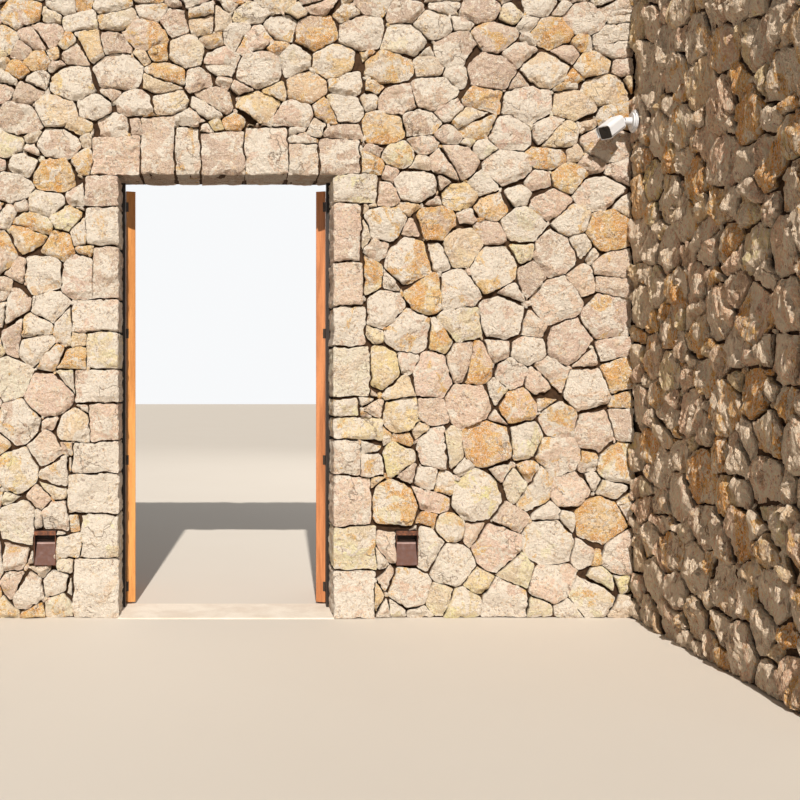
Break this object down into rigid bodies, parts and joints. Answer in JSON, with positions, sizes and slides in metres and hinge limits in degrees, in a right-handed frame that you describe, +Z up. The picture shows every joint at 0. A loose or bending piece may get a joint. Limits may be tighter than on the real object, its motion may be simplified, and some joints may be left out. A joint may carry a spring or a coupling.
{
  "type": "stone wall gateway with double timber gate",
  "caption": "Tall rubble-stone wall with a rectangular gateway, a pair of timber leaves on hinges, step lights and a return wall carrying a small wall camera.",
  "frame": {"origin": "ground level, in the middle of the gateway and of the wall's thickness, on the underside of the threshold slab", "axes": "+X to the right seen from the street, along the gate wall; +Y into the court, away from the return wall; +Z up"},
  "size_m": [5.16, 2.9984, 4],
  "materials": {
    "rubble_limestone": "matte",
    "dressed_limestone": "matte",
    "threshold_stone": "matte",
    "post_timber": "satin",
    "leaf_timber": "satin",
    "dark_hardware": "satin",
    "rusted_steel": "matte",
    "light_plate_steel": "satin",
    "lamp_diffuser": "satin",
    "white_shell": "satin",
    "black_window": "gloss"
  },
  "bodies": {
    "wall": {"left_wall": "rubble_limestone", "right_wall": "rubble_limestone", "wall_over_gate": "rubble_limestone", "return_wall": "rubble_limestone", "left_jamb_stones": "dressed_limestone", "right_jamb_stones": "dressed_limestone", "lintel_stones": "dressed_limestone", "threshold_slab": "threshold_stone", "left_post": "post_timber", "right_post": "post_timber", "left_post_hinges": "dark_hardware", "right_post_hinges": "dark_hardware", "left_light_box": "rusted_steel", "left_light_plate": "light_plate_steel", "left_light_lamp": "lamp_diffuser", "right_light_box": "rusted_steel", "right_light_plate": "light_plate_steel", "right_light_lamp": "lamp_diffuser", "camera_base_plate": "white_shell"},
    "left_leaf": {"left_leaf_core": "leaf_timber", "left_leaf_street_boards": "leaf_timber", "left_leaf_court_boards": "leaf_timber", "left_leaf_hinges": "dark_hardware", "lock_plate": "dark_hardware", "lever_roses": "dark_hardware", "key_plates": "dark_hardware"},
    "right_leaf": {"right_leaf_core": "leaf_timber", "right_leaf_street_boards": "leaf_timber", "right_leaf_court_boards": "leaf_timber", "right_leaf_hinges": "dark_hardware", "strike_plate": "dark_hardware"},
    "lever": {"lever": "dark_hardware"},
    "camera_bracket": {"camera_stem": "white_shell"},
    "camera_head": {"camera_housing": "white_shell", "camera_sun_shield": "white_shell", "camera_window": "black_window"}
  },
  "joints": [
    {"name": "left_leaf_swing", "type": "hinge", "parent": "wall", "child": "left_leaf", "pos_m": [-0.6335, 0.195, 1.3], "axis": [0, 0, 1], "range_deg": [-110, 10]},
    {"name": "right_leaf_swing", "type": "hinge", "parent": "wall", "child": "right_leaf", "pos_m": [0.6335, 0.195, 1.3], "axis": [0, 0, -1], "range_deg": [-110, 10]},
    {"name": "lever_turn", "type": "hinge", "parent": "left_leaf", "child": "lever", "pos_m": [-0.79351, 0.74281, 1.06], "axis": [0.9397, 0.342, 0], "range_deg": [0, 45], "stiffness_Nm_per_rad": 1.5, "springref_deg": -34.38},
    {"name": "bracket_turn", "type": "hinge", "parent": "wall", "child": "camera_bracket", "pos_m": [2.39, -0.264, 2.933], "axis": [-1, 0, 0], "range_deg": [-40, 40]},
    {"name": "head_lean", "type": "hinge", "parent": "camera_bracket", "child": "camera_head", "pos_m": [2.31, -0.264, 2.933], "axis": [0, -0.7071, 0.7071], "range_deg": [-26, 24]}
  ]
}
